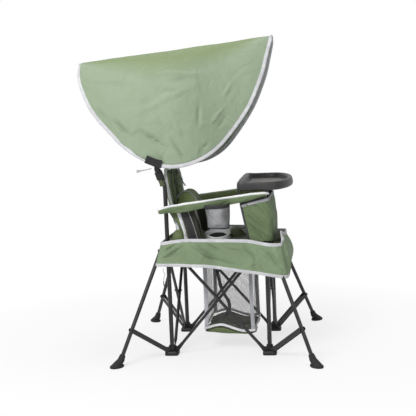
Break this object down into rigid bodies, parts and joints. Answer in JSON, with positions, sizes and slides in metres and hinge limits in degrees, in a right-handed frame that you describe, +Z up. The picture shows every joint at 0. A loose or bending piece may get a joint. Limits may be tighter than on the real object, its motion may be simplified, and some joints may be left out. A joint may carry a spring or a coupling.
{
  "type": "folding baby chair",
  "caption": "Folding baby chair with crossing braces, splayed legs, fabric seat with leg sack, arms, tray and tilting canopy.",
  "frame": {"origin": "on the floor, under the middle of the chair's bounding box", "axes": "+X the way the child faces, +Y to the child's left, +Z up"},
  "size_m": [1.0125, 0.8414, 1.3119],
  "materials": {
    "black_tube": "satin black paint",
    "black_moulding": "fine grain",
    "black_rubber": "matte",
    "charcoal_tray": "fine grain",
    "sage_cloth": "plain weave",
    "moss_cloth": "plain weave",
    "olive_padding": "padded",
    "grey_mesh": "open mesh",
    "grey_binding": "woven"
  },
  "bodies": {
    "rear_right": {"rear_right_post": "black_tube", "rear_right_hub": "black_moulding", "canopy_socket_right": "black_moulding", "arm_right": "sage_cloth", "cup_pocket": "grey_mesh", "back_panel": "olive_padding", "shoulder_pad_right": "moss_cloth", "shoulder_pad_left": "moss_cloth"},
    "rear_left": {"rear_left_post": "black_tube", "rear_left_hub": "black_moulding", "canopy_socket_left": "black_moulding", "arm_left": "sage_cloth"},
    "front_right": {"front_right_post": "black_tube", "front_right_hub": "black_moulding", "front_panel": "moss_cloth"},
    "front_left": {"front_left_post": "black_tube", "front_left_hub": "black_moulding"},
    "bracket_rr": {"rear_right_bracket": "black_moulding", "skirt_right": "sage_cloth", "skirt_rear": "sage_cloth", "sack_side_right": "grey_mesh", "tie_cord": "grey_binding", "tie_hook": "black_moulding"},
    "bracket_rl": {"rear_left_bracket": "black_moulding", "skirt_left": "sage_cloth", "sack_side_left": "grey_mesh"},
    "bracket_fr": {"front_right_bracket": "black_moulding", "skirt_front": "sage_cloth"},
    "bracket_fl": {"front_left_bracket": "black_moulding"},
    "seat_right": {"seat_leaf_right": "olive_padding"},
    "seat_left": {"seat_leaf_left": "olive_padding"},
    "floor_right": {"sack_floor_right": "moss_cloth"},
    "floor_left": {"sack_floor_left": "moss_cloth"},
    "sack_rear_wall": {"sack_rear": "grey_mesh"},
    "sack_front_wall": {"sack_front": "grey_mesh"},
    "tray_body": {"tray": "charcoal_tray"},
    "clip_right": {"canopy_clip_right": "black_moulding", "canopy_shade": "sage_cloth", "canopy_hoop": "grey_binding"},
    "clip_left": {"canopy_clip_left": "black_moulding"},
    "right_inner": {"right_inner_brace": "black_tube"},
    "right_outer": {"right_outer_brace": "black_tube"},
    "rear_inner": {"rear_inner_brace": "black_tube"},
    "rear_outer": {"rear_outer_brace": "black_tube"},
    "front_inner": {"front_inner_brace": "black_tube"},
    "front_outer": {"front_outer_brace": "black_tube"},
    "left_inner": {"left_inner_brace": "black_tube"},
    "left_outer": {"left_outer_brace": "black_tube"},
    "leg_rr": {"rear_right_leg": "black_tube", "rear_right_foot": "black_rubber"},
    "stay_rr": {"rear_right_stay": "black_tube"},
    "leg_rl": {"rear_left_leg": "black_tube", "rear_left_foot": "black_rubber"},
    "stay_rl": {"rear_left_stay": "black_tube"},
    "leg_fr": {"front_right_leg": "black_tube", "front_right_foot": "black_rubber"},
    "stay_fr": {"front_right_stay": "black_tube"},
    "leg_fl": {"front_left_leg": "black_tube", "front_left_foot": "black_rubber"},
    "stay_fl": {"front_left_stay": "black_tube"}
  },
  "joints": [
    {"name": "frame_fold", "type": "hinge", "parent": "rear_right", "child": "right_inner", "pos_m": [-0.0946, -0.2036, 0.024], "axis": [0, -1, 0], "range_deg": [0, 28.81], "deforming": ["arm_right", "arm_left", "cup_pocket", "back_panel", "shoulder_pad_right", "shoulder_pad_left", "front_panel", "skirt_right", "skirt_rear", "skirt_left", "skirt_front", "sack_side_right", "sack_side_left", "sack_rear", "sack_front", "sack_floor_right", "sack_floor_left", "seat_leaf_right", "seat_leaf_left", "canopy_shade", "canopy_hoop"]},
    {"name": "right_outer_turn", "type": "hinge", "parent": "right_inner", "child": "right_outer", "pos_m": [0.085, -0.2036, 0.232], "axis": [0, -1, 0], "range_deg": [-57.67, 0]},
    {"name": "front_right_post_turn", "type": "hinge", "parent": "right_outer", "child": "front_right", "pos_m": [0.2646, -0.2036, 0.024], "axis": [0, -1, 0], "range_deg": [0, 28.86]},
    {"name": "bracket_fr_turn", "type": "hinge", "parent": "right_inner", "child": "bracket_fr", "pos_m": [0.2646, -0.2036, 0.44], "axis": [0, -1, 0], "range_deg": [-28.86, 0]},
    {"name": "bracket_rr_turn", "type": "hinge", "parent": "right_outer", "child": "bracket_rr", "pos_m": [-0.0946, -0.2036, 0.44], "axis": [0, -1, 0], "range_deg": [0, 28.86]},
    {"name": "rear_inner_turn", "type": "hinge", "parent": "rear_right", "child": "rear_inner", "pos_m": [-0.1186, -0.1796, 0.024], "axis": [1, 0, 0], "range_deg": [0, 28.86]},
    {"name": "rear_outer_turn", "type": "hinge", "parent": "rear_inner", "child": "rear_outer", "pos_m": [-0.1186, 0, 0.232], "axis": [1, 0, 0], "range_deg": [-57.67, 0]},
    {"name": "rear_left_post_turn", "type": "hinge", "parent": "rear_outer", "child": "rear_left", "pos_m": [-0.1186, 0.1796, 0.024], "axis": [1, 0, 0], "range_deg": [0, 28.86]},
    {"name": "bracket_rl_turn", "type": "hinge", "parent": "rear_inner", "child": "bracket_rl", "pos_m": [-0.1186, 0.1796, 0.44], "axis": [1, 0, 0], "range_deg": [-28.86, 0]},
    {"name": "front_inner_turn", "type": "hinge", "parent": "front_right", "child": "front_inner", "pos_m": [0.2886, -0.1796, 0.024], "axis": [1, 0, 0], "range_deg": [0, 28.86]},
    {"name": "front_outer_turn", "type": "hinge", "parent": "front_inner", "child": "front_outer", "pos_m": [0.2886, 0, 0.232], "axis": [1, 0, 0], "range_deg": [-57.67, 0]},
    {"name": "front_left_post_turn", "type": "hinge", "parent": "front_outer", "child": "front_left", "pos_m": [0.2886, 0.1796, 0.024], "axis": [1, 0, 0], "range_deg": [0, 28.86]},
    {"name": "bracket_fl_turn", "type": "hinge", "parent": "front_inner", "child": "bracket_fl", "pos_m": [0.2886, 0.1796, 0.44], "axis": [1, 0, 0], "range_deg": [-28.86, 0]},
    {"name": "left_inner_turn", "type": "hinge", "parent": "rear_left", "child": "left_inner", "pos_m": [-0.0946, 0.2036, 0.024], "axis": [0, -1, 0], "range_deg": [0, 28.86]},
    {"name": "left_outer_turn", "type": "hinge", "parent": "left_inner", "child": "left_outer", "pos_m": [0.085, 0.2036, 0.232], "axis": [0, -1, 0], "range_deg": [-57.67, 0]},
    {"name": "leg_rr_turn", "type": "hinge", "parent": "bracket_rr", "child": "leg_rr", "pos_m": [-0.14406, -0.22906, 0.44], "axis": [0.7071, -0.7071, 0], "range_deg": [0, 20.7]},
    {"name": "stay_rr_turn", "type": "hinge", "parent": "leg_rr", "child": "stay_rr", "pos_m": [-0.255, -0.34001, 0.13668], "axis": [-0.7071, 0.7071, 0], "range_deg": [0, 63.51]},
    {"name": "leg_rl_turn", "type": "hinge", "parent": "bracket_rl", "child": "leg_rl", "pos_m": [-0.14406, 0.22906, 0.44], "axis": [-0.7071, -0.7071, 0], "range_deg": [0, 20.7]},
    {"name": "stay_rl_turn", "type": "hinge", "parent": "leg_rl", "child": "stay_rl", "pos_m": [-0.255, 0.34001, 0.13668], "axis": [0.7071, 0.7071, 0], "range_deg": [0, 63.51]},
    {"name": "leg_fr_turn", "type": "hinge", "parent": "bracket_fr", "child": "leg_fr", "pos_m": [0.31406, -0.22906, 0.44], "axis": [0.7071, 0.7071, 0], "range_deg": [0, 20.7]},
    {"name": "stay_fr_turn", "type": "hinge", "parent": "leg_fr", "child": "stay_fr", "pos_m": [0.42501, -0.34001, 0.13668], "axis": [-0.7071, -0.7071, 0], "range_deg": [0, 63.51]},
    {"name": "leg_fl_turn", "type": "hinge", "parent": "bracket_fl", "child": "leg_fl", "pos_m": [0.31406, 0.22906, 0.44], "axis": [-0.7071, 0.7071, 0], "range_deg": [0, 20.7]},
    {"name": "stay_fl_turn", "type": "hinge", "parent": "leg_fl", "child": "stay_fl", "pos_m": [0.42501, 0.34001, 0.13668], "axis": [0.7071, -0.7071, 0], "range_deg": [0, 63.51]},
    {"name": "seat_right_turn", "type": "hinge", "parent": "bracket_rr", "child": "seat_right", "pos_m": [0.085, -0.19, 0.4635], "axis": [-1, 0, 0], "range_deg": [0, 80.05]},
    {"name": "seat_left_turn", "type": "hinge", "parent": "bracket_rl", "child": "seat_left", "pos_m": [0.085, 0.19, 0.4635], "axis": [1, 0, 0], "range_deg": [0, 80.05]},
    {"name": "floor_right_turn", "type": "hinge", "parent": "bracket_rr", "child": "floor_right", "pos_m": [0.085, -0.15, 0.088], "axis": [1, 0, 0], "range_deg": [0, 80.05]},
    {"name": "floor_left_turn", "type": "hinge", "parent": "bracket_rl", "child": "floor_left", "pos_m": [0.085, 0.15, 0.088], "axis": [-1, 0, 0], "range_deg": [0, 80.05]},
    {"name": "sack_rear_slide", "type": "slide", "parent": "bracket_rr", "child": "sack_rear_wall", "axis": [-1, 0, 0], "range_m": [0, 0.0808]},
    {"name": "sack_front_slide", "type": "slide", "parent": "bracket_rr", "child": "sack_front_wall", "axis": [-1, 0, 0], "range_m": [0, 0.2071]},
    {"name": "tray_lift", "type": "slide", "parent": "front_right", "child": "tray_body", "axis": [0, 0, 1], "range_m": [0, 0.04]},
    {"name": "canopy_tilt", "type": "hinge", "parent": "rear_right", "child": "clip_right", "pos_m": [-0.14546, -0.2036, 0.77202], "axis": [0, 1, 0], "range_deg": [-20, 20]},
    {"name": "clip_left_turn", "type": "hinge", "parent": "rear_left", "child": "clip_left", "pos_m": [-0.14546, 0.2036, 0.77202], "axis": [0, 1, 0], "range_deg": [-20.05, 20.05]}
  ],
  "couplings": [
    {"joint": "right_outer_turn", "follows": "frame_fold", "ratio": -2},
    {"joint": "front_right_post_turn", "follows": "frame_fold", "ratio": 1},
    {"joint": "bracket_fr_turn", "follows": "frame_fold", "ratio": -1},
    {"joint": "bracket_rr_turn", "follows": "frame_fold", "ratio": 1},
    {"joint": "rear_inner_turn", "follows": "frame_fold", "ratio": 1},
    {"joint": "rear_outer_turn", "follows": "frame_fold", "ratio": -2},
    {"joint": "rear_left_post_turn", "follows": "frame_fold", "ratio": 1},
    {"joint": "bracket_rl_turn", "follows": "frame_fold", "ratio": -1},
    {"joint": "front_inner_turn", "follows": "frame_fold", "ratio": 1},
    {"joint": "front_outer_turn", "follows": "frame_fold", "ratio": -2},
    {"joint": "front_left_post_turn", "follows": "frame_fold", "ratio": 1},
    {"joint": "bracket_fl_turn", "follows": "frame_fold", "ratio": -1},
    {"joint": "left_inner_turn", "follows": "frame_fold", "ratio": 1},
    {"joint": "left_outer_turn", "follows": "frame_fold", "ratio": -2},
    {"joint": "leg_rr_turn", "follows": "frame_fold", "ratio": 0.7167},
    {"joint": "stay_rr_turn", "follows": "frame_fold", "ratio": 2.2026},
    {"joint": "leg_rl_turn", "follows": "frame_fold", "ratio": 0.7167},
    {"joint": "stay_rl_turn", "follows": "frame_fold", "ratio": 2.2026},
    {"joint": "leg_fr_turn", "follows": "frame_fold", "ratio": 0.7167},
    {"joint": "stay_fr_turn", "follows": "frame_fold", "ratio": 2.2026},
    {"joint": "leg_fl_turn", "follows": "frame_fold", "ratio": 0.7167},
    {"joint": "stay_fl_turn", "follows": "frame_fold", "ratio": 2.2026},
    {"joint": "seat_right_turn", "follows": "frame_fold", "ratio": 2.7768},
    {"joint": "seat_left_turn", "follows": "frame_fold", "ratio": 2.7768},
    {"joint": "floor_right_turn", "follows": "frame_fold", "ratio": 2.7768},
    {"joint": "floor_left_turn", "follows": "frame_fold", "ratio": 2.7768},
    {"joint": "sack_rear_slide", "follows": "frame_fold", "m_per_rad": 0.1597},
    {"joint": "sack_front_slide", "follows": "frame_fold", "m_per_rad": 0.4109},
    {"joint": "clip_left_turn", "follows": "canopy_tilt", "ratio": 1}
  ]
}
